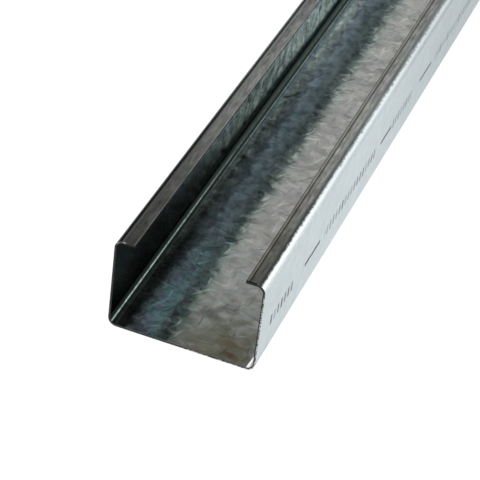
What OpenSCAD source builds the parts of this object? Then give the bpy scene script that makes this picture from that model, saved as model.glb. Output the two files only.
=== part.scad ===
// Lipped C-section: one strip of galvanised sheet steel, folded lengthwise at four bends
// into a web, two flanges and two inward lips. It lies on the back of its web, along Y.

/* [Section] */
// Width of the web, outside to outside
web_width = 75; // [60:1:200]
// Height of each flange, from the back of the web to the top of its lip
flange_height = 50; // [30:1:100]
// Reach of each lip, from the outside of its flange to its slit edge
lip_reach = 10; // [8:0.5:24]
// Thickness of the sheet
sheet_thickness = 1.2; // [0.6:0.1:3]
// Inside radius of the bends
bend_inner_radius = 3.3; // [0.6:0.1:4]

/* [Stock] */
// Length of the piece, end to end
stock_length = 2000; // [200:10:6000]

/* [Hidden] */
$fn = 96;
bend_outer_radius = bend_inner_radius + sheet_thickness;
// Flat runs of the strip between its bends
half_web_run = web_width / 2 - bend_outer_radius;
flange_run = flange_height - 2 * bend_outer_radius;
lip_run = lip_reach - bend_outer_radius;

// A flat run of the strip along +X, with the outside of the section at y = 0
module flat_run(length) {
    square([length, sheet_thickness]);
}

// A quarter bend at the end of a run: it starts along +X at the origin and ends along +Y
module bend() {
    translate([0, bend_outer_radius])
        intersection() {
            difference() {
                circle(r = bend_outer_radius);
                circle(r = bend_inner_radius);
            }
            translate([0, -bend_outer_radius]) square(bend_outer_radius);
        }
}

// A flat run, then a bend, then whatever the strip does next in its turned direction
module run_and_bend(length) {
    flat_run(length);
    translate([length, 0]) {
        bend();
        translate([bend_outer_radius, bend_outer_radius]) rotate(90) children();
    }
}

// Half of the section, from the middle of the web round to the slit edge of the lip
module half_section() {
    run_and_bend(half_web_run)
        run_and_bend(flange_run)
            flat_run(lip_run);
}

// The whole section, with the back of the web on y = 0
module section() {
    half_section();
    mirror([1, 0]) half_section();
}

// The piece of stock, cut square at both ends
module c_section() {
    color("lightslategray")
        rotate([90, 0, 0])
            linear_extrude(height = stock_length, center = true) section();
}

c_section();
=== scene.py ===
"""A lipped C-section of galvanised sheet steel, lying on its web on a white studio floor."""

import math
from collections import namedtuple
from functools import partial, reduce

import bmesh
import bpy
from mathutils import Matrix, Vector


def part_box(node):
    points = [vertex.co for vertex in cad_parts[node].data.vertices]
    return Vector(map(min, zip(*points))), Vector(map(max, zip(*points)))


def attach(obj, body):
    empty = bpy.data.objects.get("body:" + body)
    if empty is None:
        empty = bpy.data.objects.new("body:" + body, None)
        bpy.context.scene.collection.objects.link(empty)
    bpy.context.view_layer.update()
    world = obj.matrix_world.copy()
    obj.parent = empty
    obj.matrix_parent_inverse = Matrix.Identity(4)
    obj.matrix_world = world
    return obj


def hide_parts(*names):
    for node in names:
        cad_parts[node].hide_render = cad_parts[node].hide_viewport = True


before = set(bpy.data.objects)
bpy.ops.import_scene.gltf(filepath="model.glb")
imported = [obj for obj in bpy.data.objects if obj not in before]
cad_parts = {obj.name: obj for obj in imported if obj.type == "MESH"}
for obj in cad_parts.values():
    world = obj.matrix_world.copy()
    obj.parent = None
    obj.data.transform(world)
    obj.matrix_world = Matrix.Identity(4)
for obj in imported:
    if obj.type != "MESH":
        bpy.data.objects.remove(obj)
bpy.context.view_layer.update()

# The section, in metres. Its overall sizes come from the frame.
LOW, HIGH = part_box("c_section")
WEB_WIDTH = HIGH.x - LOW.x
STOCK_LENGTH = HIGH.y - LOW.y
FLANGE_HEIGHT = HIGH.z - LOW.z
HALF_WEB = WEB_WIDTH / 2
LIP_REACH = 0.010
SHEET_THICKNESS = 0.0012
BEND_OUTER_RADIUS = 0.0045
BEND_INNER_RADIUS = BEND_OUTER_RADIUS - SHEET_THICKNESS
BEND_START = HALF_WEB - BEND_OUTER_RADIUS
SLIT_EDGE = HALF_WEB - LIP_REACH
NEAR_END = LOW.y

# How finely the strip is meshed, and how its cut edges are broken.
CELLS_ACROSS_WEB = 6
CELLS_ALONG = 80
BEND_SEGMENTS = 14
EDGE_ROUND = 0.00014
EDGE_SEGMENTS = 2
CUT_EDGE_ANGLE = math.radians(60)
SMOOTH_ANGLE = math.radians(50)
# Points closer than this are at the same place.
TOUCH = 1e-6
# A face looks along an axis if its normal has at least this share of it.
FACES_ALONG = 0.9

STRIP_UV = "strip"
WHITE = (1, 1, 1)


def select_edges(piece, test):
    """In edit mode, selects the edges whose two ends both pass the test, and nothing else."""
    bpy.ops.mesh.select_mode(type="EDGE")
    bpy.ops.mesh.select_all(action="DESELECT")
    cage = bmesh.from_edit_mesh(piece.data)
    for edge in cage.edges:
        edge.select_set(all(test(vertex.co) for vertex in edge.verts))
    bmesh.update_edit_mesh(piece.data)


def select_faces(piece, test):
    """In edit mode, selects the faces that pass the test, and nothing else."""
    bpy.ops.mesh.select_mode(type="FACE")
    bpy.ops.mesh.select_all(action="DESELECT")
    cage = bmesh.from_edit_mesh(piece.data)
    for face in cage.faces:
        face.select_set(test(face))
    bmesh.update_edit_mesh(piece.data)


def apply_modifier(piece, kind, **settings):
    """Gives the active piece a modifier with these settings and applies it."""
    modifier = piece.modifiers.new(kind.lower(), kind)
    for name, value in settings.items():
        setattr(modifier, name, value)
    bpy.ops.object.modifier_apply(modifier=modifier.name)


def fold_strip():
    """The outer face of the strip: a web with flanges and lips drawn up from it, and rounded folds."""
    bpy.ops.object.select_all(action="DESELECT")
    bpy.ops.mesh.primitive_grid_add(
        x_subdivisions=CELLS_ACROSS_WEB, y_subdivisions=CELLS_ALONG, size=1, enter_editmode=True
    )
    strip = bpy.context.object
    strip.name = "galvanised_sheet"
    bpy.ops.transform.resize(value=(WEB_WIDTH, STOCK_LENGTH, 1))

    for side in (-1, 1):
        select_edges(strip, lambda p: abs(p.x - side * HALF_WEB) < TOUCH and abs(p.z) < TOUCH)
        bpy.ops.mesh.extrude_region_move(TRANSFORM_OT_translate={"value": (0, 0, FLANGE_HEIGHT)})
        bpy.ops.mesh.extrude_region_move(TRANSFORM_OT_translate={"value": (-side * LIP_REACH, 0, 0)})

    cage = bmesh.from_edit_mesh(strip.data)
    bpy.ops.mesh.select_all(action="SELECT")
    bpy.ops.mesh.normals_make_consistent(inside=False)
    web_faces_up = any(
        face.normal.z > FACES_ALONG and face.calc_center_median().z < TOUCH for face in cage.faces
    )
    if web_faces_up:
        bpy.ops.mesh.flip_normals()
    for level in (0, FLANGE_HEIGHT):
        select_edges(strip, lambda p: abs(abs(p.x) - HALF_WEB) < TOUCH and abs(p.z - level) < TOUCH)
        bpy.ops.mesh.bevel(
            offset=BEND_OUTER_RADIUS, offset_type="OFFSET", segments=BEND_SEGMENTS, profile=0.5,
            affect="EDGES", clamp_overlap=False,
        )
    bpy.ops.object.mode_set(mode="OBJECT")
    return strip


def strip_distance(x, z):
    """How far a point of the section is from the middle of the web, measured along the flat strip."""
    quarter = BEND_OUTER_RADIUS * math.pi / 2
    flange_run = FLANGE_HEIGHT - 2 * BEND_OUTER_RADIUS
    out = abs(x) - BEND_START
    if out <= 0 and z < FLANGE_HEIGHT / 2:
        distance = abs(x)
    elif z < BEND_OUTER_RADIUS:
        distance = BEND_START + BEND_OUTER_RADIUS * math.atan2(out, BEND_OUTER_RADIUS - z)
    elif z <= FLANGE_HEIGHT - BEND_OUTER_RADIUS:
        distance = BEND_START + quarter + z - BEND_OUTER_RADIUS
    elif out > 0:
        turned = math.atan2(z - FLANGE_HEIGHT + BEND_OUTER_RADIUS, out)
        distance = BEND_START + quarter + flange_run + BEND_OUTER_RADIUS * turned
    else:
        distance = BEND_START + 2 * quarter + flange_run - out
    return math.copysign(distance, x)


def lay_strip_uv(sheet):
    """A UV map in metres of the strip before it was folded: U across it and V along it."""
    for old in list(sheet.data.uv_layers):
        sheet.data.uv_layers.remove(old)
    uv = sheet.data.uv_layers.new(name=STRIP_UV)
    for loop in sheet.data.loops:
        p = sheet.data.vertices[loop.vertex_index].co
        uv.data[loop.index].uv = (strip_distance(p.x, p.z), p.y)


def is_cut(face):
    """Whether a face of the sheet was sheared: at an end, or along the edge of a lip."""
    middle = face.calc_center_median()
    at_end = abs(middle.y) > STOCK_LENGTH / 2 - EDGE_ROUND
    at_slit = abs(middle.x) < SLIT_EDGE + EDGE_ROUND and middle.z > FLANGE_HEIGHT / 2
    return at_end and abs(face.normal.y) > FACES_ALONG or at_slit and abs(face.normal.x) > FACES_ALONG


def galvanised_sheet():
    """The folded strip at its full thickness, with its cut edges just broken, and its two finishes."""
    sheet = fold_strip()
    apply_modifier(sheet, "SOLIDIFY", thickness=SHEET_THICKNESS, offset=-1, use_even_offset=True)
    apply_modifier(
        sheet, "BEVEL", width=EDGE_ROUND, segments=EDGE_SEGMENTS, limit_method="ANGLE",
        angle_limit=CUT_EDGE_ANGLE, use_clamp_overlap=False,
    )
    bpy.ops.object.shade_smooth_by_angle(angle=SMOOTH_ANGLE)
    apply_modifier(sheet, "WEIGHTED_NORMAL", mode="FACE_AREA", weight=100, keep_sharp=True)
    lay_strip_uv(sheet)

    sheet.data.materials.append(zinc_finish())
    sheet.data.materials.append(cut_edge_finish())
    bpy.ops.object.mode_set(mode="EDIT")
    select_faces(sheet, is_cut)
    sheet.active_material_index = 1
    bpy.ops.object.material_slot_assign()
    bpy.ops.object.mode_set(mode="OBJECT")
    return sheet


# Small helpers for shader nodes. A value may be a number, a colour or another node's output.


def feed(tree, socket, value):
    """Links another node's output to a socket, or sets the socket to a plain value."""
    if isinstance(value, bpy.types.NodeSocket):
        tree.links.new(value, socket)
    elif isinstance(value, (tuple, list)) and socket.type == "RGBA" and len(value) == 3:
        socket.default_value = (*value, 1)
    else:
        socket.default_value = value


def add(tree, kind, settings=None, **inputs):
    """A new node with these settings and inputs. An underscore in an input's name stands for a space."""
    node = tree.nodes.new(kind)
    for name, value in (settings or {}).items():
        setattr(node, name, value)
    for name, value in inputs.items():
        feed(tree, node.inputs[name.replace("_", " ")], value)
    return node


def in_order(tree, node, values):
    """Feeds the first inputs of a node, and returns its first output."""
    for socket, value in zip(node.inputs, values):
        feed(tree, socket, value)
    return node.outputs[0]


def calc(tree, operation, *values):
    """One operation on numbers."""
    return in_order(tree, add(tree, "ShaderNodeMath", {"operation": operation}), values)


def calc_vector(tree, operation, *values):
    """One operation on vectors."""
    return in_order(tree, add(tree, "ShaderNodeVectorMath", {"operation": operation}), values)


def minus(tree, a, b):
    """The first value less the second."""
    return calc(tree, "SUBTRACT", a, b)


def scaled(tree, vector, amount):
    """A vector times a number."""
    node = add(tree, "ShaderNodeVectorMath", {"operation": "SCALE"}, Scale=amount)
    return in_order(tree, node, [vector])


def ramp(tree, value, start, end, low=0.0, high=1.0):
    """Goes smoothly from low to high as the value goes from start to end."""
    node = add(tree, "ShaderNodeMapRange", {"interpolation_type": "SMOOTHSTEP"})
    return in_order(tree, node, (value, start, end, low, high))


def band(tree, value, low, high, soft):
    """1 where the value is between low and high, and 0 outside, with soft edges."""
    rise = ramp(tree, value, low - soft, low + soft)
    fall = ramp(tree, value, high - soft, high + soft, 1.0, 0.0)
    return product(tree, rise, fall)


def product(tree, *values):
    """All the values multiplied."""
    return reduce(partial(calc, tree, "MULTIPLY"), values)


def total(tree, *values):
    """All the values added up."""
    return reduce(partial(calc, tree, "ADD"), values)


def largest(tree, *values):
    """The largest of the values."""
    return reduce(partial(calc, tree, "MAXIMUM"), values)


def hypotenuse(tree, a, b):
    """The longest side of a right-angled triangle."""
    return calc(tree, "SQRT", total(tree, product(tree, a, a), product(tree, b, b)))


def axes(tree, vector):
    """The three parts of a vector."""
    return add(tree, "ShaderNodeSeparateXYZ", Vector=vector).outputs


def channels(tree, colour):
    """The three parts of a colour."""
    return add(tree, "ShaderNodeSeparateColor", Color=colour).outputs


def mix(tree, factor, a, b, blend="MIX"):
    """Colour a where the factor is 0 and b where it is 1, or another blend of the two."""
    node = add(tree, "ShaderNodeMix", {"data_type": "RGBA", "blend_type": blend})
    feed(tree, node.inputs[0], factor)
    feed(tree, node.inputs[6], a)
    feed(tree, node.inputs[7], b)
    return node.outputs[2]


def tinted(tree, colour, tint, share=1.0):
    """A colour times a tint or a number, as far as the share goes."""
    return mix(tree, share, colour, tint, "MULTIPLY")


def noise(tree, vector, scale, detail=2.0):
    """The outputs of a soft random pattern: a number first, then "Color"."""
    return add(tree, "ShaderNodeTexNoise", Vector=vector, Scale=scale, Detail=detail).outputs


def cells(tree, vector, size):
    """The outputs of a pattern of random cells of about that size in metres."""
    return add(
        tree, "ShaderNodeTexVoronoi", {"voronoi_dimensions": "2D"}, Vector=vector, Scale=1 / size
    ).outputs


def turned_flat(tree, vector, angle):
    """A vector on the strip, turned by an angle."""
    node = add(tree, "ShaderNodeVectorRotate", {"rotation_type": "Z_AXIS"}, Vector=vector, Angle=angle)
    return node.outputs[0]


def centred(tree, colour, amount):
    """A random colour as a lean to either side, of that size."""
    return scaled(tree, calc_vector(tree, "SUBTRACT", colour, (0.5, 0.5, 0.5)), amount)


def stepped(tree, value, low, high, stops):
    """A colour that changes with a value between low and high, from a list of values and colours."""
    node = add(tree, "ShaderNodeValToRGB")
    share = in_order(tree, add(tree, "ShaderNodeMapRange"), (value, low, high))
    feed(tree, node.inputs[0], share)
    marks = node.color_ramp.elements
    while len(marks) < len(stops):
        marks.new(0.5)
    for mark, (place, colour) in zip(marks, stops):
        mark.position = (place - low) / (high - low)
        mark.color = (*colour, 1)
    return node.outputs[0]


def by_degrees(tree, angle, stops):
    """A colour that changes with an angle between 0 and 90 degrees."""
    return stepped(tree, angle, 0, 90, stops)


def new_material(name):
    """A material without nodes, and its node tree."""
    material = bpy.data.materials.new(name)
    material.use_nodes = True
    material.node_tree.nodes.clear()
    return material, material.node_tree


def show_surface(tree, **inputs):
    """Gives a material a surface with these inputs."""
    surface = add(tree, "ShaderNodeBsdfPrincipled", **inputs)
    add(tree, "ShaderNodeOutputMaterial", Surface=surface.outputs[0])


# The finish is laid out with ramps. Two numbers are the values between which a ramp goes from 0 to 1, and
# two more say what it goes from and to. Names with _ALONG are ramps over the metres from the near end,
# with _ACROSS over the metres right of the middle of the web, and with _UP over the metres above its back.
# Three numbers are a band: from, to and soft edge.

# Where a shading point is on the flat strip and in the section, how far it is from the near end, and how
# much it belongs to some of the faces. The last one is a slow random number to either side of 0.
Spot = namedtuple("Spot", "strip place x z from_end web_inside inner_face right_outside uneven")
WEB_INSIDE_UP = (0.0004, 0.0010)
WEB_INSIDE_TOP_UP = (0.0060, 0.0045)
INNER_FACE_UP = (0.0004, 0.0009)
INNER_FACE_DEPTH = (0.0004, 0.0009)
LEFT_FLANGE_ACROSS = (-0.0345, -0.0355)
# A finish on one face only ends between these depths below it.
SKIN_DEPTH = (0.0006, 0.0002)
UNEVEN_SCALE = 160.0
UNEVEN = (0.2, 0.8, -0.6, 0.6)


def up_to(tree, value, level, depth):
    """Goes from 0 to 1 between two depths below a level."""
    return ramp(tree, value, level - depth[0], level - depth[1])


def shading_spot(tree):
    """The point that is being shaded."""
    strip = add(tree, "ShaderNodeUVMap", {"uv_map": STRIP_UV}).outputs[0]
    place = add(tree, "ShaderNodeTexCoord").outputs["Object"]
    x, y, z = axes(tree, place)
    from_end = minus(tree, y, NEAR_END)
    web_inside = product(tree, ramp(tree, z, *WEB_INSIDE_UP), ramp(tree, z, *WEB_INSIDE_TOP_UP))
    inner_face = product(
        tree, up_to(tree, calc(tree, "ABSOLUTE", x), HALF_WEB, INNER_FACE_DEPTH),
        ramp(tree, z, *INNER_FACE_UP),
    )
    right_outside = up_to(tree, x, HALF_WEB, SKIN_DEPTH)
    uneven = ramp(tree, noise(tree, place, UNEVEN_SCALE, 3.0)[0], *UNEVEN)
    return Spot(strip, place, x, z, from_end, web_inside, inner_face, right_outside, uneven)


def blotch(tree, spot, centre, reach, ragged, edge):
    """1 inside a patch of that centre and reach, with a ragged soft edge."""
    across = calc(tree, "DIVIDE", minus(tree, spot.x, centre[0]), reach[0])
    along = calc(tree, "DIVIDE", minus(tree, spot.from_end, centre[1]), reach[1])
    away = total(tree, hypotenuse(tree, across, along), ragged)
    return ramp(tree, away, 1.0, 1.0 - edge)


# Creases between the crystals, in layers: spacing, half length and half width in metres, and curl.
CREASES = [
    (0.0066, 0.0038, 0.00062, 30.0),
    (0.0095, 0.0058, 0.00078, 22.0),
    (0.0140, 0.0085, 0.00095, 14.0),
]
CREASE_LAYER_SHIFT = (0.37, 0.61, 0.0)
# Some creases are dark and thin, and the others bright and wide: shade, and share of the width.
DARK_CREASE = -1.55
BRIGHT_CREASE = 0.90
DARK_CREASE_WIDTH = 0.50
BRIGHT_CREASE_WIDTH = 1.25
CREASE_KIND = (0.45, 0.55)
CREASE_STRENGTH = (0.1, 0.9, 0.2, 1.0)
# The shares of a crease's width and length that are full.
CREASE_CORE = 0.35
CREASE_MIDDLE = 0.2
# Each crease is turned from the direction across the strip by an angle between these.
CREASE_TURN = (math.radians(-95), math.radians(25))


def creases(tree, strip):
    """Short strokes scattered over the strip: under 0 on the dark ones and over 0 on the bright ones."""
    strokes = 0.0
    for layer, (spacing, half_length, half_width, curl) in enumerate(CREASES):
        shifted = calc_vector(tree, "ADD", strip, tuple(layer * shift for shift in CREASE_LAYER_SHIFT))
        cell = cells(tree, shifted, spacing)
        turn, kind, strength = channels(tree, cell["Color"])
        local = turned_flat(
            tree, calc_vector(tree, "SUBTRACT", shifted, cell["Position"]),
            ramp(tree, turn, 0.0, 1.0, *CREASE_TURN),
        )
        along, aside, _ = axes(tree, local)
        bow = product(tree, along, along, curl)
        aside = calc(tree, "ABSOLUTE", minus(tree, aside, bow))
        reach = calc(tree, "ABSOLUTE", along)
        width = ramp(
            tree, kind, *CREASE_KIND, half_width * DARK_CREASE_WIDTH, half_width * BRIGHT_CREASE_WIDTH
        )
        shade = product(
            tree, ramp(tree, aside, width, product(tree, width, CREASE_CORE)),
            ramp(tree, reach, half_length, half_length * CREASE_MIDDLE),
            ramp(tree, kind, *CREASE_KIND, DARK_CREASE, BRIGHT_CREASE),
            ramp(tree, strength, *CREASE_STRENGTH),
        )
        strokes = total(tree, strokes, shade)
    return strokes


# The zinc's crystals: grains with uneven borders, and feathers in them, in metres.
Crystals = namedtuple("Crystals", "grain grain_shade feather feather_shade crease")
GRAIN_SIZE = 0.0060
GRAIN_WARP = 0.004
GRAIN_WARP_SCALE = 420.0
FEATHER_LENGTH = 0.0085
FEATHER_WIDTH = 0.0024


def spangle(tree, strip):
    """Zinc crystals on the strip: each grain has its own shade, lean and direction of feathers."""
    warp = centred(tree, noise(tree, strip, GRAIN_WARP_SCALE)["Color"], GRAIN_WARP)
    grain = cells(tree, calc_vector(tree, "ADD", strip, warp), GRAIN_SIZE)["Color"]
    grain_shade, grain_turn = channels(tree, grain)[:2]
    turned = turned_flat(tree, strip, product(tree, grain_turn, 2 * math.pi))
    feather_at = calc_vector(tree, "DIVIDE", turned, (FEATHER_LENGTH, FEATHER_WIDTH, 1))
    feather = noise(tree, feather_at, 1.0, 1.0)
    return Crystals(grain, grain_shade, feather["Color"], feather[0], creases(tree, strip))


# Stains on the inside of the web: centre and reach, across and from the near end, colour and strength.
WEB_STAINS = [
    ((0.012, 0.000), (0.048, 0.060), (0.285, 0.28, 0.24), 0.75),
    ((0.018, 0.008), (0.024, 0.026), (0.27, 0.262, 0.175), 0.65),
    ((0.002, 0.029), (0.009, 0.005), (0.16, 0.15, 0.15), 0.80),
    ((0.012, 0.036), (0.006, 0.004), (0.20, 0.19, 0.19), 0.65),
    ((0.025, 0.004), (0.013, 0.011), (0.21, 0.18, 0.13), 0.50),
]
STAIN_RAGGED = 0.5
# The share of a stain's or rust spot's reach over which it fades.
STAIN_EDGE = 0.7


def web_stains(tree, spot, colour):
    """Large soft stains on the inside of the web."""
    ragged = product(tree, spot.uneven, STAIN_RAGGED)
    for centre, reach, tone, strength in WEB_STAINS:
        where = blotch(tree, spot, centre, reach, ragged, STAIN_EDGE)
        colour = mix(tree, product(tree, spot.web_inside, where, strength), colour, tone)
    return colour


# Bare zinc, and how far its crystals, mottles and creases make it lighter and darker.
ZINC = (0.555, 0.59, 0.61)
GRAIN_SHADE = (0, 1, -0.12, 0.12)
FEATHER_SHADE = (0.25, 0.75, -0.10, 0.10)
MOTTLE_SHADE = (0.25, 0.75, -0.14, 0.14)
MOTTLE_SCALE = 170.0
CREASE_SHADE = 0.30
DARKEST_SHADE = 0.25
# This contrast is low on the outside, and higher under the film and on the bright part of the left flange.
CONTRAST = (0, 1, 0.25, 1.0)
FILM_CONTRAST = 1.1
FLANGE_CONTRAST = 3.0
UNDER_FILM_ACROSS = (-0.0070, -0.0100)
# The zinc varies a little in hue from patch to patch, most on the inside.
ROSE_HUE = (1.035, 0.985, 1.02)
OLIVE_HUE = (0.985, 1.01, 0.94)
HUE_SCALE = 190.0
HUE_STEP = (0.36, 0.64)
HUE_STRENGTH = (0, 1, 0.25, 0.9)
# The inside of the left flange has painted light: brighter high up and further from the near end.
BRIGHTER_FLANGE = (1.44, 1.54, 1.38)
BRIGHT_FLANGE_ALONG = (0.10, 0.20, 0.2, 1.0)
BRIGHT_FLANGE_UP = (0.009, 0.016)


def bright_part(tree, spot):
    """The part of the left flange's inside that is painted brighter as light."""
    return product(
        tree, spot.inner_face, ramp(tree, spot.x, *LEFT_FLANGE_ACROSS),
        ramp(tree, spot.from_end, *BRIGHT_FLANGE_ALONG), ramp(tree, spot.z, *BRIGHT_FLANGE_UP),
    )


def bare_zinc(tree, spot, crystals, bright_flange):
    """The zinc's colour: stained, shaded by its crystals and creases, with painted light on the left
    flange, and varied in hue.
    """
    mottle = noise(tree, spot.strip, MOTTLE_SCALE, 3.0)[0]
    shade = total(
        tree, ramp(tree, crystals.grain_shade, *GRAIN_SHADE), ramp(tree, mottle, *MOTTLE_SHADE),
        ramp(tree, crystals.feather_shade, *FEATHER_SHADE), product(tree, crystals.crease, CREASE_SHADE),
    )
    under_film = product(tree, spot.web_inside, ramp(tree, spot.x, *UNDER_FILM_ACROSS))
    contrast = total(
        tree, ramp(tree, spot.inner_face, *CONTRAST), product(tree, bright_flange, FLANGE_CONTRAST),
        product(tree, under_film, FILM_CONTRAST),
    )
    shade = largest(tree, total(tree, 1.0, product(tree, shade, contrast)), DARKEST_SHADE)
    colour = tinted(tree, web_stains(tree, spot, ZINC), shade)
    colour = tinted(tree, colour, BRIGHTER_FLANGE, bright_flange)
    patches = ramp(tree, noise(tree, spot.strip, HUE_SCALE)[0], *HUE_STEP)
    hue = mix(tree, patches, ROSE_HUE, OLIVE_HUE)
    return tinted(tree, colour, hue, ramp(tree, spot.inner_face, *HUE_STRENGTH))


# The blue-grey film on the inside of the web, which also paints the bluish light on its shaded part: its
# strength by distance from the middle of the web, and how that changes along the stock and at the cut end.
# Further along it reaches the left fold.
FILM_STRENGTH = [
    (-0.0300, 0.0), (-0.0268, 0.27), (-0.0225, 0.57), (-0.0190, 0.65), (-0.0155, 0.57), (-0.0130, 0.51),
    (-0.0085, 0.61), (-0.0050, 0.12), (0.0330, 0.10),
]
FILM_NEAR_ALONG = (0.0, 0.13, 1.66, 0.45)
FILM_FURTHER_ALONG = (0.18, 0.29, 1.0, 0.70)
FILM_CUT_ALONG = (0.0, 0.018, 0.58, 1.0)
FOLD_FILM_ACROSS = (-0.0335, -0.0308, 0.0012)
FOLD_FILM_ALONG = (0.04, 0.29, 0.03, 1.0)
FOLD_FILM = 0.90
# It is uneven with the feathers, in clouds, and with the creases.
FILM_BY_FEATHER = (0.30, 0.70, 0.82, 1.18)
FILM_CLOUD_SCALE = 130.0
FILM_BY_CLOUD = (0.30, 0.70, 0.70, 1.30)
FILM_BY_CREASE = (-1, 1, 0.92, 1.10)
# Its right edge is thin: in clumps, and near the end throughout.
BARE_ACROSS = (-0.0135, -0.0060, 0.0020)
BARE_ALONG = (0.10, 0.04, 0.0, 0.62)
BARE_CLUMP_SCALE = 300.0
BARE_CLUMPS = (0.49, 0.60)
BARE_FILM = (0, 1, 1.0, 0.25)
# It is teal in some patches and slate in others, and darker and lighter in the creases.
TEAL_FILM = (0.365, 0.600, 0.650)
SLATE_FILM = (0.425, 0.505, 0.670)
SLATE_SCALE = 75.0
SLATE_STEP = (0.42, 0.58)
MORE_SLATE_ALONG = (0.02, 0.12, -0.24, 0.06)
MORE_SLATE_ACROSS = (-0.0120, -0.0240, -0.06, 0.12)
MORE_SLATE_CUT_ALONG = (0.0, 0.018, 0.22, 0.0)
FILM_TONE_BY_CREASE = (-1, 1, 0.55, 1.50)
# It takes away from the shine of the metal.
FILM_DULLS = 0.34
FOLD_FILM_DULLS = 0.60


def web_film_and_painted_tint(tree, spot, crystals, marks_and_shade):
    """How much film there is, its colour with painted bluish light, and how much of it lies by the fold.
    """
    inside = product(tree, spot.web_inside, marks_and_shade)
    greys = [(place, (strength,) * 3) for place, strength in FILM_STRENGTH]
    across = channels(tree, stepped(tree, spot.x, -HALF_WEB, HALF_WEB, greys))[0]
    film = product(
        tree, across, ramp(tree, spot.from_end, *FILM_NEAR_ALONG),
        ramp(tree, spot.from_end, *FILM_FURTHER_ALONG), ramp(tree, spot.from_end, *FILM_CUT_ALONG),
    )
    by_fold = product(
        tree, inside, band(tree, spot.x, *FOLD_FILM_ACROSS), ramp(tree, spot.from_end, *FOLD_FILM_ALONG),
        FOLD_FILM,
    )
    clumps = ramp(tree, noise(tree, spot.strip, BARE_CLUMP_SCALE)[0], *BARE_CLUMPS)
    bare = product(
        tree, band(tree, spot.x, *BARE_ACROSS),
        largest(tree, clumps, ramp(tree, spot.from_end, *BARE_ALONG)),
    )
    film = product(
        tree, inside, largest(tree, film, by_fold), ramp(tree, crystals.feather_shade, *FILM_BY_FEATHER),
        ramp(tree, noise(tree, spot.strip, FILM_CLOUD_SCALE)[0], *FILM_BY_CLOUD),
        ramp(tree, crystals.crease, *FILM_BY_CREASE), ramp(tree, bare, *BARE_FILM),
    )
    slate = total(
        tree, noise(tree, spot.strip, SLATE_SCALE, 1.0)[0], ramp(tree, spot.from_end, *MORE_SLATE_ALONG),
        ramp(tree, spot.x, *MORE_SLATE_ACROSS), ramp(tree, spot.from_end, *MORE_SLATE_CUT_ALONG),
    )
    tone = mix(tree, ramp(tree, slate, *SLATE_STEP), TEAL_FILM, SLATE_FILM)
    return film, tinted(tree, tone, ramp(tree, crystals.crease, *FILM_TONE_BY_CREASE)), by_fold


# The near end has weathered most and has the most painted shade, and further along the inside is cleaner.
MARKS_AND_SHADE_ALONG = (0.42, 0.80, 1.0, 0.35)
# How much the edges of the tinted and shaded bands wander, and how soft they are.
BAND_WANDER = 0.003
BAND_SOFT = 0.0018
# Tinted bands on the inside: tint, centre across the section, half width, and strength. The greenish band
# at the edge of the web's shaded part is a painted reflection; the rosy and mossy ones are weathering.
GREENISH = (0.92, 1.04, 0.95)
MOSSY = (0.94, 1.03, 0.91)
ROSY = (1.05, 0.985, 0.965)
TINTED_BANDS = [
    (ROSY, 0.0130, 0.0140, 0.50),
    (GREENISH, -0.0070, 0.0030, 0.75),
    (MOSSY, -0.0340, 0.0050, 0.80),
]
# Under the film the zinc is darker, but not at the near end.
DARKER_SLATE = (0.81, 0.83, 0.94)
DARKER_SLATE_ACROSS = (-0.0262, -0.0145, 0.0025)
DARKER_SLATE_ALONG = (0.05, 0.13)
# By the left fold a band of it has painted shade. Its two edges move along the stock, and it fades further
# on.
WEB_SHADE_BY_FOLD = (0.34, 0.34, 0.355)
WEB_SHADE_LEFT_ALONG = (0.03, 0.17, -0.0306, -0.0300)
WEB_SHADE_RIGHT_ALONG = (0.02, 0.10, -0.0272, -0.0222)
WEB_SHADE_ALONG = (0.22, 0.30, 1.0, 0.58)


def bands_and_painted_shade(tree, spot, marks_and_shade, colour):
    """Tinted bands and bands of painted shade along the inside of the section."""
    inside = product(tree, spot.inner_face, marks_and_shade)
    wandering = total(tree, spot.x, product(tree, spot.uneven, BAND_WANDER))
    past_left = minus(tree, wandering, ramp(tree, spot.from_end, *WEB_SHADE_LEFT_ALONG))
    past_right = minus(tree, wandering, ramp(tree, spot.from_end, *WEB_SHADE_RIGHT_ALONG))
    shaded_by_fold = product(
        tree, inside, ramp(tree, past_left, -BAND_SOFT, BAND_SOFT),
        ramp(tree, past_right, BAND_SOFT, -BAND_SOFT), ramp(tree, spot.from_end, *WEB_SHADE_ALONG),
    )
    colour = tinted(tree, colour, WEB_SHADE_BY_FOLD, shaded_by_fold)
    darker = product(
        tree, inside, band(tree, wandering, *DARKER_SLATE_ACROSS),
        ramp(tree, spot.from_end, *DARKER_SLATE_ALONG),
    )
    colour = tinted(tree, colour, DARKER_SLATE, darker)
    for tint, centre, half_width, strength in TINTED_BANDS:
        where = band(tree, wandering, centre - half_width, centre + half_width, BAND_SOFT)
        colour = tinted(tree, colour, tint, product(tree, inside, where, strength))
    return colour


# Rust on the inside of the web: centre and reach, across and from the near end, and strength.
RUST = (0.19, 0.105, 0.062)
RUST_SPOTS = [
    ((0.0200, 0.0125), (0.0085, 0.0050), 0.40),
    ((0.0245, 0.0038), (0.0064, 0.0030), 0.60),
]
# A dark scratch on the web, from point to point. To its sides it ends between two distances.
SCRATCH = [(-0.0317, 0.2315), (-0.0281, 0.2348), (-0.0250, 0.2414)]
SCRATCH_ASIDE = (0.0015, 0.0006)
SCRATCH_SOFT = 0.0015
SCRATCH_TONE = (0.02, 0.025, 0.025)
SCRATCH_STRENGTH = 0.9


def scratch_line(tree, spot, start, end):
    """1 along a straight scratch between two points."""
    run = Vector(end) - Vector(start)
    ahead = run / run.length
    dx = minus(tree, spot.x, start[0])
    dy = minus(tree, spot.from_end, start[1])
    along = total(tree, product(tree, dx, ahead.x), product(tree, dy, ahead.y))
    aside = minus(tree, product(tree, dy, ahead.x), product(tree, dx, ahead.y))
    return product(
        tree, ramp(tree, calc(tree, "ABSOLUTE", aside), *SCRATCH_ASIDE),
        band(tree, along, 0.0, run.length, SCRATCH_SOFT),
    )


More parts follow.
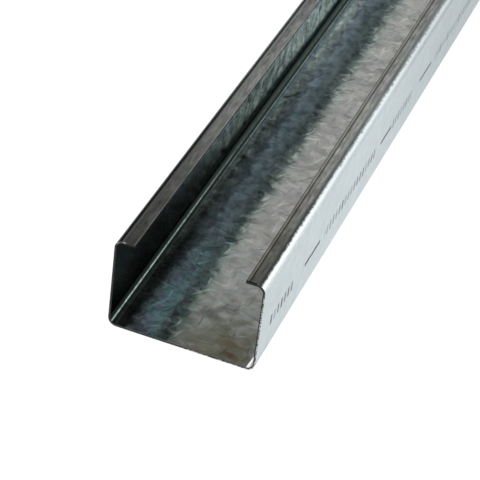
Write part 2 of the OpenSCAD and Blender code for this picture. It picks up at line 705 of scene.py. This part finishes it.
def web_marks(tree, spot, colour):
    """Rust and a scratch on the inside of the web."""
    for centre, reach, strength in RUST_SPOTS:
        where = blotch(tree, spot, centre, reach, spot.uneven, STAIN_EDGE)
        colour = mix(tree, product(tree, spot.web_inside, where, strength), colour, RUST)
    for start, end in zip(SCRATCH, SCRATCH[1:]):
        where = scratch_line(tree, spot, start, end)
        colour = mix(tree, product(tree, spot.web_inside, where, SCRATCH_STRENGTH), colour, SCRATCH_TONE)
    return colour


# A painted highlight where the right bend meets the cut end: centre and reach. Its normal leans towards
# the end.
CORNER_HIGHLIGHT = ((0.0353, 0.0000), (0.0023, 0.0130))
CORNER_HIGHLIGHT_EDGE = 0.2
CORNER_HIGHLIGHT_TONE = (0.97, 0.90, 0.86)
CORNER_HIGHLIGHT_LEAN = (0.41, -0.63, 0.0)


def corner_highlight_place(tree, spot):
    """Where the painted highlight at the corner is."""
    return product(tree, spot.web_inside, blotch(tree, spot, *CORNER_HIGHLIGHT, 0.0, CORNER_HIGHLIGHT_EDGE))


# The ink line outside the right flange: long dashes and runs of plain ticks, which repeat along the stock.
# Places are in metres along one repeat.
INK = (0.06, 0.065, 0.08)
INK_STRENGTH = 0.95
INK_REPEAT = 0.194
INK_START = 0.064
INK_ALONG = (0.013, 0.014)
INK_DASHES = [(0.000, 0.023), (0.122, 0.141)]
INK_RUNS = [(0.030, 0.112), (0.144, 0.178)]
INK_SOFT = 0.0008
# Above and below its level, dashes and ticks end between these distances.
INK_LEVEL = 0.0200
INK_DASH_HALF = (0.00132, 0.00066)
INK_TICK_HALF = (0.0033, 0.0024)
# Ticks fill a part of each step, with uneven strength, and all the ink is worn.
INK_PITCH = 0.0048
INK_TICK = (0.22, 0.66, 0.12)
INK_TICK_STRENGTH = (0, 1, 0.50, 1.0)
INK_WEAR_SCALE = 560.0
INK_WEAR = (0.25, 0.55, 0.65, 1.0)


def on_stretches(tree, along, stretches):
    """1 on any of these stretches of the ink line."""
    return largest(tree, *(band(tree, along, start, end, INK_SOFT) for start, end in stretches))


def ink_line(tree, spot):
    """How much ink there is, in dashes and ticks."""
    repeats = calc(tree, "DIVIDE", minus(tree, spot.from_end, INK_START), INK_REPEAT)
    along = product(tree, calc(tree, "FRACT", repeats), INK_REPEAT)
    off_level = calc(tree, "ABSOLUTE", minus(tree, spot.z, INK_LEVEL))
    dashes = product(tree, on_stretches(tree, along, INK_DASHES), ramp(tree, off_level, *INK_DASH_HALF))
    step = calc(tree, "DIVIDE", spot.from_end, INK_PITCH)
    random = add(tree, "ShaderNodeTexWhiteNoise", {"noise_dimensions": "1D"}, W=calc(tree, "FLOOR", step))
    ticks = product(
        tree, on_stretches(tree, along, INK_RUNS), band(tree, calc(tree, "FRACT", step), *INK_TICK),
        ramp(tree, off_level, *INK_TICK_HALF), ramp(tree, random.outputs["Value"], *INK_TICK_STRENGTH),
    )
    patchy = ramp(tree, noise(tree, spot.place, INK_WEAR_SCALE)[0], *INK_WEAR)
    return product(
        tree, spot.right_outside, ramp(tree, spot.from_end, *INK_ALONG), largest(tree, dashes, ticks),
        patchy, INK_STRENGTH,
    )


# The lips: what counts as one, below the top and in from the outside, and where left turns to right.
LIP_DEPTH = (0.0020, 0.0012)
LIP_INSET = (0.0022, 0.0040)
RIGHT_ACROSS = (-0.01, 0.01)
# Their colours, with painted shade: the left one is darker, and shaded from its flange to its slit edge.
LEFT_LIP = (0.33, 0.35, 0.37)
RIGHT_LIP = (0.488, 0.520, 0.541)
LEFT_LIP_ACROSS = (-0.0350, -0.0275)
LEFT_LIP_BY_FLANGE_ALONG = (0.07, 0.14, 0.76, 0.68)
LEFT_LIP_BY_SLIT_ALONG = (0.07, 0.14, 0.76, 1.12)
# Both have painted shade: darker at the near end, and further along again.
LIP_BY_END = (0.430, 0.430, 0.400)
LIP_BY_END_ALONG = (0.0, 0.13)
LIP_FURTHER_ALONG = (0.15, 0.30)
LIP_FURTHER_ACROSS = (-0.01, 0.01, 0.85, 0.74)
# Streaks along them, patches, and patches of hue. The streaks' scales are across and along, per metre.
LIP_STREAK_SCALES = (800.0, 150.0)
LIP_STREAKS = (0.25, 0.75, 0.72, 1.25)
LIP_PATCH_SCALE = 0.45
LIP_PATCHES = (0.3, 0.7, 0.76, 1.24)
LIP_ROSE = (1.04, 0.98, 0.99)
LIP_OLIVE = (1.0, 1.01, 0.93)
LIP_HUE_STEP = (0.38, 0.62)
# Painted lines of shade and highlight along the lips: place across the section, half width, colour,
# strength.
LIP_LINES = [
    (0.0292, 0.00040, (0.05, 0.048, 0.042), 0.90),
    (0.0283, 0.00028, (0.52, 0.51, 0.47), 0.70),
    (0.0277, 0.00030, (0.06, 0.057, 0.050), 0.85),
    (0.0313, 0.00022, (0.16, 0.155, 0.15), 0.40),
    (-0.0277, 0.00025, (0.50, 0.51, 0.51), 0.50),
]
LIP_LINE_SOFT = 0.00015
LIP_LINE_BROKEN = (0.30, 0.60, 0.7, 1.0)
# The top of the right lip is near black over about its last millimetre at the near end.
LIP_END_DARK = (0.012, 0.012, 0.011)
LIP_END_DARK_ACROSS = (0.0, 0.01)
LIP_END_DARK_ALONG = (0.0011, 0.0007)


def lip_tone(tree, spot, streak_at, streaks):
    """The colour of the lips without their lines."""
    left_share = ramp(
        tree, spot.x, *LEFT_LIP_ACROSS, ramp(tree, spot.from_end, *LEFT_LIP_BY_FLANGE_ALONG),
        ramp(tree, spot.from_end, *LEFT_LIP_BY_SLIT_ALONG),
    )
    patches = noise(tree, streak_at, LIP_PATCH_SCALE, 3.0)
    hue = ramp(tree, channels(tree, patches["Color"])[1], *LIP_HUE_STEP)
    further = ramp(tree, spot.x, *LIP_FURTHER_ACROSS)
    tone = mix(tree, ramp(tree, spot.x, *RIGHT_ACROSS), LEFT_LIP, RIGHT_LIP)
    for tint in (
        ramp(tree, streaks, *LIP_STREAKS),
        ramp(tree, spot.x, *RIGHT_ACROSS, left_share, 1.0),
        mix(tree, ramp(tree, spot.from_end, *LIP_BY_END_ALONG), LIP_BY_END, WHITE),
        ramp(tree, patches[0], *LIP_PATCHES),
        mix(tree, hue, LIP_ROSE, LIP_OLIVE),
        ramp(tree, spot.from_end, *LIP_FURTHER_ALONG, 1.0, further),
    ):
        tone = tinted(tree, tone, tint)
    return tone


def lip_marks(tree, spot, colour):
    """The lips' colours with painted shade, and painted lines of shade and highlight along them."""
    on_lip = product(
        tree, up_to(tree, spot.z, FLANGE_HEIGHT, LIP_DEPTH),
        up_to(tree, calc(tree, "ABSOLUTE", spot.x), HALF_WEB, LIP_INSET),
    )
    streak_at = add(
        tree, "ShaderNodeCombineXYZ", X=product(tree, spot.x, LIP_STREAK_SCALES[0]),
        Y=product(tree, spot.from_end, LIP_STREAK_SCALES[1]),
    ).outputs[0]
    streaks = noise(tree, streak_at, 1.0, 3.0)[0]
    colour = mix(tree, on_lip, colour, lip_tone(tree, spot, streak_at, streaks))
    broken = ramp(tree, streaks, *LIP_LINE_BROKEN)
    for place, half_width, line, strength in LIP_LINES:
        where = band(tree, spot.x, place - half_width, place + half_width, LIP_LINE_SOFT)
        colour = mix(tree, product(tree, on_lip, where, broken, strength), colour, line)
    # A near-black line at the near end of the right lip's top.
    lip_end_dark = product(tree, on_lip, ramp(tree, spot.x, *LIP_END_DARK_ACROSS), ramp(tree, spot.from_end, *LIP_END_DARK_ALONG))
    return mix(tree, lip_end_dark, colour, LIP_END_DARK)


# Painted light on the outside of the top bends, by the angle from the flange towards the lip in degrees.
# The right one is a painted highlight with a dark band beside it, brightest at the near end, and evens out
# and darkens further along. The left one is painted shade, and gets lighter.
RIGHT_BEND_REFLECTION = [
    (0, (0.54, 0.59, 0.62)), (13, (0.64, 0.69, 0.71)), (24, (0.76, 0.80, 0.81)), (36, (0.80, 0.83, 0.83)),
    (60, (0.84, 0.87, 0.86)), (66, (0.22, 0.24, 0.23)), (90, (0.27, 0.29, 0.28)),
]
RIGHT_BEND_REFLECTION_FURTHER = [
    (0, (0.47, 0.52, 0.55)), (14, (0.58, 0.63, 0.65)), (28, (0.66, 0.70, 0.72)), (42, (0.66, 0.70, 0.71)),
    (52, (0.66, 0.70, 0.71)), (61, (0.36, 0.39, 0.39)), (90, (0.40, 0.43, 0.44)),
]
LEFT_BEND_SHADE = [
    (0, (0.30, 0.31, 0.31)), (14, (0.07, 0.07, 0.07)), (50, (0.06, 0.06, 0.06)), (68, (0.17, 0.18, 0.18)),
    (90, (0.25, 0.26, 0.27)),
]
RIGHT_BEND_ALONG = (0.02, 0.13)
RIGHT_BEND_TONE_ALONG = (0.16, 0.28, 1.0, 0.78)
LEFT_BEND_TONE_ALONG = (0.06, 0.20, 0.55, 1.35)
# Between these angles the left bend shines less.
LEFT_BEND_DULL_FROM = (0, 14)
LEFT_BEND_DULL_TO = (68, 50)
# The right bend's tones are ragged, in degrees: finely torn, and slowly uneven.
BEND_TORN_SCALE = 620.0
BEND_TORN = (0.25, 0.75, -9.0, 9.0)
BEND_UNEVEN = 9.0


def top_bends(tree, spot, colour):
    """The right bend is painted bright as a highlight, and the left one dark as shade."""
    out = minus(tree, calc(tree, "ABSOLUTE", spot.x), BEND_START)
    up = minus(tree, spot.z, FLANGE_HEIGHT - BEND_OUTER_RADIUS)
    turned = calc(tree, "DEGREES", calc(tree, "ARCTAN2", up, out))
    on_bend = product(
        tree, up_to(tree, hypotenuse(tree, out, up), BEND_OUTER_RADIUS, SKIN_DEPTH),
        calc(tree, "GREATER_THAN", out, 0.0), calc(tree, "GREATER_THAN", up, 0.0),
    )
    torn = ramp(tree, noise(tree, spot.place, BEND_TORN_SCALE)[0], *BEND_TORN)
    ragged = total(tree, turned, torn, product(tree, spot.uneven, BEND_UNEVEN))
    # The right bend's painted highlight, with a dark band beside it.
    right = mix(
        tree, ramp(tree, spot.from_end, *RIGHT_BEND_ALONG),
        by_degrees(tree, ragged, RIGHT_BEND_REFLECTION), by_degrees(tree, ragged, RIGHT_BEND_REFLECTION_FURTHER),
    )
    right = tinted(tree, right, ramp(tree, spot.from_end, *RIGHT_BEND_TONE_ALONG))
    left = tinted(
        tree, by_degrees(tree, turned, LEFT_BEND_SHADE), ramp(tree, spot.from_end, *LEFT_BEND_TONE_ALONG)
    )
    tone = mix(tree, calc(tree, "GREATER_THAN", spot.x, 0.0), left, right)
    dull = product(
        tree, on_bend, calc(tree, "LESS_THAN", spot.x, 0.0), ramp(tree, turned, *LEFT_BEND_DULL_TO),
        ramp(tree, turned, *LEFT_BEND_DULL_FROM),
    )
    return mix(tree, on_bend, colour, tone), dull


# Painted shade inside the left flange, reaching highest near the cut end, and deeper painted shade low
# down along the fold. Their upper edges are ragged, and fade between two shares of the height.
FOLD_SIDE_SHADE = (0.061, 0.052, 0.049)
FOLD_SIDE_SHADE_STRENGTH = 0.96
FOLD_SIDE_SHADE_RAGGED = 0.004
FOLD_SIDE_SHADE_HEIGHT_ALONG = (0.21, 0.0, 0.0065, 0.0340)
FOLD_SIDE_SHADE_HEIGHT_CUT_ALONG = (0.075, 0.0, 0.0, 0.0340)
FOLD_SIDE_SHADE_EDGE = (1.75, 0.65)
DEEP_FOLD_SIDE_SHADE = (0.016, 0.021, 0.019)
DEEP_FOLD_SIDE_SHADE_RAGGED = 0.002
DEEP_FOLD_SIDE_SHADE_HEIGHT_ALONG = (0.33, 0.17, 0.0105, 0.0155)
DEEP_FOLD_SIDE_SHADE_EDGE = (1.22, 0.78)
# What counts as the inside of the left flange, in from its outside and above the fold.
SHADED_FLANGE_ACROSS = (-HALF_WEB + 0.0006, -HALF_WEB + 0.0010)
ABOVE_FOLD_UP = (0.0030, 0.0045)
# A strip of the web beside the fold has some painted shade too, near the end.
SHADED_WEB_TOP_UP = (0.0024, 0.0018)
SHADED_WEB_LEFT_ACROSS = (-0.0345, -0.0338)
SHADED_WEB_RIGHT_ACROSS = (-0.0290, -0.0325)
SHADED_WEB_ALONG = (0.14, 0.0, 0.0, 0.5)


def painted_shade_by_fold(tree, spot):
    """How much painted shade there is on the flange and the web beside the fold, and how much deeper
    shade.
    """
    ragged = product(tree, spot.uneven, FOLD_SIDE_SHADE_RAGGED)
    deep_ragged = product(tree, spot.uneven, DEEP_FOLD_SIDE_SHADE_RAGGED)
    flange = product(
        tree, ramp(tree, spot.x, *SHADED_FLANGE_ACROSS), ramp(tree, spot.x, *LEFT_FLANGE_ACROSS),
        ramp(tree, spot.z, *ABOVE_FOLD_UP),
    )
    height = total(
        tree, ramp(tree, spot.from_end, *FOLD_SIDE_SHADE_HEIGHT_ALONG),
        ramp(tree, spot.from_end, *FOLD_SIDE_SHADE_HEIGHT_CUT_ALONG),
    )
    level = calc(tree, "DIVIDE", total(tree, spot.z, ragged), height)
    deep_height = ramp(tree, spot.from_end, *DEEP_FOLD_SIDE_SHADE_HEIGHT_ALONG)
    deep_level = calc(tree, "DIVIDE", total(tree, spot.z, deep_ragged), deep_height)
    web = product(
        tree, ramp(tree, spot.z, *WEB_INSIDE_UP), ramp(tree, spot.z, *SHADED_WEB_TOP_UP),
        ramp(tree, spot.x, *SHADED_WEB_LEFT_ACROSS),
        ramp(tree, total(tree, spot.x, ragged), *SHADED_WEB_RIGHT_ACROSS),
        ramp(tree, spot.from_end, *SHADED_WEB_ALONG),
    )
    side_shade = largest(tree, product(tree, flange, ramp(tree, level, *FOLD_SIDE_SHADE_EDGE)), web)
    deep_shade = product(tree, flange, ramp(tree, deep_level, *DEEP_FOLD_SIDE_SHADE_EDGE))
    return product(tree, side_shade, FOLD_SIDE_SHADE_STRENGTH), deep_shade


# Painted shade inside the left fold, by the angle round it from the web in degrees, darkest near the end.
FOLD_INSIDE_SHADE = [
    (0, (0.028, 0.040, 0.035)), (35, (0.021, 0.033, 0.028)), (60, (0.070, 0.090, 0.082)),
    (75, (0.046, 0.060, 0.054)), (90, (0.028, 0.035, 0.032)),
]
FOLD_INSIDE_SHADE_ALONG = (0.05, 0.20, 0.6, 0.9)
# What counts as the fold: past the end of the web's flat, and not far above the end of the bend.
FOLD_PAST_WEB = (0.0, 0.0006)
FOLD_BELOW_FLANGE = (-0.0026, -0.0010)
# Two painted highlight lines along it: angle and half width in degrees, and a ramp of strength along
# the stock. They are patchy. The fold shines all in one direction.
FOLD_HIGHLIGHT = (0.280, 0.355, 0.325)
FOLD_HIGHLIGHTS = [
    (52.5, 6.0, (-0.02, 0.20, 2.20, 0.22)),
    (17.0, 4.0, (0.06, 0.22, 0.09, 0.75)),
]
FOLD_HIGHLIGHT_SOFT = 3.0
FOLD_HIGHLIGHT_PATCH_SCALE = 330.0
FOLD_HIGHLIGHT_PATCHES = (0.3, 0.7, 0.72, 1.28)
FOLD_FACING = (0.545, 0.0, 0.839)


def left_fold(tree, spot):
    """Where the inside of the left fold is, and its colour: painted shade with painted highlight lines."""
    aside = minus(tree, -BEND_START, spot.x)
    below = minus(tree, LOW.z + BEND_OUTER_RADIUS, spot.z)
    turned = calc(tree, "DEGREES", calc(tree, "ARCTAN2", aside, below))
    off_face = calc(tree, "ABSOLUTE", minus(tree, hypotenuse(tree, aside, below), BEND_INNER_RADIUS))
    fold = product(
        tree, ramp(tree, off_face, *SKIN_DEPTH), ramp(tree, aside, *FOLD_PAST_WEB),
        ramp(tree, below, *FOLD_BELOW_FLANGE),
    )
    tone = tinted(tree, by_degrees(tree, turned, FOLD_INSIDE_SHADE), ramp(tree, spot.from_end, *FOLD_INSIDE_SHADE_ALONG))
    patchy = ramp(tree, noise(tree, spot.place, FOLD_HIGHLIGHT_PATCH_SCALE)[0], *FOLD_HIGHLIGHT_PATCHES)
    # Painted highlight lines along the fold.
    for angle, half_width, strength_along in FOLD_HIGHLIGHTS:
        where = band(tree, turned, angle - half_width, angle + half_width, FOLD_HIGHLIGHT_SOFT)
        line = tinted(tree, FOLD_HIGHLIGHT, product(tree, patchy, ramp(tree, spot.from_end, *strength_along)))
        tone = mix(tree, where, tone, line)
    return fold, tone


# How far grains, feathers, slow waves and creases lean, and how the web is cambered.
GRAIN_TILT = 0.020
FEATHER_TILT = 0.022
WAVE_TILT = 0.006
WAVE_SCALE = 28.0
CREASE_LEAN = (0.016, 0.0, 0.0)
WEB_CAMBER = (-0.020, 0.0, 0.0)


def zinc_normal(tree, spot, crystals, fold, corner_highlight):
    """The direction that the zinc faces: its crystals lean a little, and the fold faces all one way."""
    wave = noise(tree, spot.place, WAVE_SCALE, 1.0)["Color"]
    facing = add(tree, "ShaderNodeNewGeometry").outputs["Normal"]
    normal = facing
    for lean in (
        centred(tree, crystals.grain, GRAIN_TILT),
        centred(tree, crystals.feather, FEATHER_TILT),
        centred(tree, wave, WAVE_TILT),
        scaled(tree, CREASE_LEAN, crystals.crease),
        scaled(tree, WEB_CAMBER, spot.web_inside),
        scaled(tree, CORNER_HIGHLIGHT_LEAN, corner_highlight),
        scaled(tree, calc_vector(tree, "SUBTRACT", FOLD_FACING, facing), fold),
    ):
        normal = calc_vector(tree, "ADD", normal, lean)
    return calc_vector(tree, "NORMALIZE", normal)


# The outside of the right flange has painted shade: a little darker and duller further along.
FURTHER_TINT = (0.86, 0.88, 0.90)
FURTHER_ALONG = (0.12, 0.36)
FURTHER_DULLS = 0.32
# The zinc is nearly all metal, except on the bright part of the left flange.
METALLIC = (0, 1, 0.97, 0.58)
ROUGHNESS_BY_FEATHER = (0.25, 0.75, 0.11, 0.16)
SHINE = (0.93, 0.99, 1.0)
DULL_SHINE = (0.44, 0.46, 0.445)


def zinc_finish():
    """Hot-dip zinc: crystals that each shine a little differently, marks of rolling and storage, and
    painted light and shade.
    """
    material, tree = new_material("galvanised_zinc")
    spot = shading_spot(tree)
    crystals = spangle(tree, spot.strip)
    # Where the left flange gets painted light.
    bright_flange = bright_part(tree, spot)
    colour = bare_zinc(tree, spot, crystals, bright_flange)
    # Painted shade on the outside of the right flange further along.
    further = product(tree, spot.right_outside, ramp(tree, spot.from_end, *FURTHER_ALONG))
    colour = tinted(tree, colour, FURTHER_TINT, further)

    marks_and_shade = ramp(tree, spot.from_end, *MARKS_AND_SHADE_ALONG)
    # The film, whose colour also paints the bluish light on the web's shaded part.
    film, film_tone, film_by_fold = web_film_and_painted_tint(tree, spot, crystals, marks_and_shade)
    colour = mix(tree, film, colour, film_tone)
    # Weathered tints, a painted reflection and painted shade along the inside.
    colour = bands_and_painted_shade(tree, spot, marks_and_shade, colour)
    colour = web_marks(tree, spot, colour)
    # Painted shade on the left flange and the web beside the fold.
    side_shade, deep_side_shade = painted_shade_by_fold(tree, spot)
    colour = mix(tree, side_shade, colour, FOLD_SIDE_SHADE)
    colour = mix(tree, deep_side_shade, colour, DEEP_FOLD_SIDE_SHADE)
    # Painted shade and painted highlight lines inside the left fold.
    fold, fold_tone = left_fold(tree, spot)
    colour = mix(tree, fold, colour, fold_tone)
    # The lips, with painted shade and painted lines of shade and highlight.
    colour = lip_marks(tree, spot, colour)
    # Painted highlight on the right top bend, and painted shade on the left one.
    colour, dull_bend = top_bends(tree, spot, colour)
    ink = ink_line(tree, spot)
    colour = mix(tree, ink, colour, INK)
    # A painted highlight where the right bend meets the cut end.
    corner_highlight = corner_highlight_place(tree, spot)
    colour = mix(tree, corner_highlight, colour, CORNER_HIGHLIGHT_TONE)

    film_dulls = total(tree, product(tree, film_by_fold, FOLD_FILM_DULLS), product(tree, film, FILM_DULLS))
    dull = largest(tree, side_shade, deep_side_shade, fold, product(tree, further, FURTHER_DULLS), ink, dull_bend)
    show_surface(
        tree, Base_Color=colour,
        Metallic=minus(tree, ramp(tree, bright_flange, *METALLIC), film_dulls),
        Roughness=ramp(tree, crystals.feather_shade, *ROUGHNESS_BY_FEATHER),
        Normal=zinc_normal(tree, spot, crystals, fold, corner_highlight),
        Specular_Tint=mix(tree, dull, SHINE, DULL_SHINE),
    )
    return material


# Sheared steel, painted nearly black as shade, and the zinc that the shears smeared over it unevenly, down
# to a
# depth below the outer face: under the lips, mostly on the right, and at one place on the top left.
SHEARED_DARK = (0.012, 0.012, 0.011)
SHEARED_LIGHT = (0.055, 0.052, 0.047)
SHEARED_SCALE = 900.0
SHEARED_METALLIC = 0.6
SHEARED_ROUGHNESS = 0.5
SMEARED_ZINC = (0.75, 0.75, 0.74)
SMEARED_DEPTH = (SHEET_THICKNESS * 0.60, SHEET_THICKNESS * 0.45)
SMEARED_UNEVEN = (0.46, 0.54, 0.10, 1.0)
SMEARED_ACROSS = (-0.006, 0.006, 0.12, 1.0)
SMEARED_BELOW_TOP = (0.003, 0.006)
SMEARED_LEFT_ACROSS = (-0.0362, -0.0315, 0.0006)
SMEARED_LEFT_UP = (0.0462, 0.0470)


def cut_edge_finish():
    """Sheared steel: dull, and painted nearly black as shade, with a brighter line of zinc along its outer
    side.
    """
    material, tree = new_material("sheared_edge")
    place = add(tree, "ShaderNodeTexCoord").outputs["Object"]
    x, _, z = axes(tree, place)
    grain = noise(tree, place, SHEARED_SCALE, 3.0)[0]
    out = minus(tree, calc(tree, "ABSOLUTE", x), BEND_START)
    low = minus(tree, LOW.z + BEND_OUTER_RADIUS, z)
    high = minus(tree, z, HIGH.z - BEND_OUTER_RADIUS)
    radius = hypotenuse(tree, largest(tree, out, 0.0), largest(tree, low, high, 0.0))
    depth = minus(tree, BEND_OUTER_RADIUS, radius)
    low_right = product(
        tree, up_to(tree, z, FLANGE_HEIGHT, SMEARED_BELOW_TOP), ramp(tree, x, *SMEARED_ACROSS)
    )
    top_left = product(tree, band(tree, x, *SMEARED_LEFT_ACROSS), ramp(tree, z, *SMEARED_LEFT_UP))
    smeared = product(
        tree, ramp(tree, depth, *SMEARED_DEPTH), largest(tree, low_right, top_left),
        ramp(tree, grain, *SMEARED_UNEVEN),
    )
    colour = mix(tree, smeared, mix(tree, grain, SHEARED_DARK, SHEARED_LIGHT), SMEARED_ZINC)
    show_surface(tree, Base_Color=colour, Metallic=SHEARED_METALLIC, Roughness=SHEARED_ROUGHNESS)
    return material


# The studio. Tones go by elevation in degrees: below the first one and above the last one they stay level.
OVERHEAD = (0.99, 1.06, 1.09)
RIGHT_TONES = [
    (22, (1.28, 1.30, 1.31)), (30, (0.60, 0.62, 0.61)), (33, (0.24, 0.26, 0.25)),
    (35.5, (0.15, 0.16, 0.158)), (38, (0.13, 0.14, 0.14)), (52, (0.13, 0.14, 0.14)), (62, OVERHEAD),
]
LEFT_TONES = [
    (22, (0.545, 0.54, 0.51)), (31, (0.535, 0.52, 0.49)), (35.5, (0.487, 0.47, 0.44)),
    (38.7, (0.312, 0.295, 0.266)), (43, (0.10, 0.10, 0.095)), (52, (0.10, 0.10, 0.095)), (62, OVERHEAD),
]
ROOM_TONES = [(50, (0.40, 0.42, 0.43)), (62, OVERHEAD)]
# Azimuth in degrees from +Y to +X: where left turns to right, how far both reach, and a low dim wall.
RIGHT_AZIMUTH = (-5, 7)
AHEAD_AZIMUTH = (-50, 100, 8)
DIM_WALL = (0.03, 0.035, 0.035)
DIM_AZIMUTH = (-85, -27, 4)
DIM_ELEVATION = (-20, 22, 4)


def studio_world():
    """Soft surroundings: a white wall on the right, and dim above it. The camera itself sees white."""
    world = bpy.data.worlds.new("studio")
    world.use_nodes = True
    bpy.context.scene.world = world
    tree = world.node_tree
    tree.nodes.clear()
    x, y, z = axes(tree, add(tree, "ShaderNodeTexCoord").outputs["Generated"])
    azimuth = calc(tree, "DEGREES", calc(tree, "ARCTAN2", x, y))
    elevation = calc(tree, "DEGREES", calc(tree, "ARCSINE", z))
    left, right, room = (
        by_degrees(tree, elevation, tones) for tones in (LEFT_TONES, RIGHT_TONES, ROOM_TONES)
    )
    ahead = mix(tree, ramp(tree, azimuth, *RIGHT_AZIMUTH), left, right)
    colour = mix(tree, band(tree, azimuth, *AHEAD_AZIMUTH), room, ahead)
    dim = product(tree, band(tree, azimuth, *DIM_AZIMUTH), band(tree, elevation, *DIM_ELEVATION))
    colour = mix(tree, dim, colour, DIM_WALL)

    mirrored = add(tree, "ShaderNodeBackground", Color=colour)
    seen = add(tree, "ShaderNodeBackground", Color=WHITE)
    chosen = in_order(
        tree, add(tree, "ShaderNodeMixShader"),
        (add(tree, "ShaderNodeLightPath").outputs["Is Camera Ray"], mirrored.outputs[0], seen.outputs[0]),
    )
    add(tree, "ShaderNodeOutputWorld", Surface=chosen)


# The floor lies just below the stock.
FLOOR_SIZE = 12.0
FLOOR_DROP = 0.0003
FLOOR_SEEN = 0.92
FLOOR_MIRRORED = 0.80
FLOOR_TONE = (0.25, 0.25, 0.25)
FLOOR_ROUGHNESS = 0.9


def floor_finish():
    """Its own light shows to the camera and in the metal, and its matt part takes the shadow."""
    material, tree = new_material("white_floor")
    path = add(tree, "ShaderNodeLightPath").outputs
    mirrored = largest(tree, path["Is Glossy Ray"], path["Is Transmission Ray"])
    shown = total(
        tree, product(tree, path["Is Camera Ray"], FLOOR_SEEN), product(tree, mirrored, FLOOR_MIRRORED)
    )
    show_surface(
        tree, Base_Color=FLOOR_TONE, Roughness=FLOOR_ROUGHNESS, Specular_IOR_Level=0.0,
        Emission_Color=WHITE, Emission_Strength=shown,
    )
    return material


def studio_floor():
    """A white floor under the stock."""
    bpy.ops.object.select_all(action="DESELECT")
    bpy.ops.mesh.primitive_plane_add(size=FLOOR_SIZE, location=(0, 0, LOW.z - FLOOR_DROP))
    floor = bpy.context.object
    floor.name = "studio_floor"
    floor.data.materials.append(floor_finish())


# The camera stands before the near end, to the right of the stock and above it.
CAMERA_FROM_NEAR_END = Vector((0.2353, -0.7279, 0.6219))
CAMERA_AZIMUTH = math.radians(16.327)
CAMERA_ELEVATION = math.radians(35.973)
CAMERA_ROLL = math.radians(7.725)
CAMERA_LENS = 156.55
CAMERA_SENSOR = 36.0


def photo_camera():
    """A long lens that looks down along the stock, a little rolled."""
    lens = bpy.data.cameras.new("camera")
    lens.lens = CAMERA_LENS
    lens.sensor_width = CAMERA_SENSOR
    camera = bpy.data.objects.new("camera", lens)
    bpy.context.scene.collection.objects.link(camera)
    stand = Matrix.Translation(CAMERA_FROM_NEAR_END + Vector((0, NEAR_END, LOW.z)))
    turn = Matrix.Rotation(CAMERA_AZIMUTH, 4, "Z")
    lean = Matrix.Rotation(math.pi / 2 - CAMERA_ELEVATION, 4, "X")
    roll = Matrix.Rotation(CAMERA_ROLL, 4, "Z")
    camera.matrix_world = stand @ turn @ lean @ roll
    bpy.context.scene.camera = camera


bpy.context.scene.view_settings.view_transform = "Standard"
profile = galvanised_sheet()
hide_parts("c_section")
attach(profile, "root")
studio_floor()
studio_world()
photo_camera()
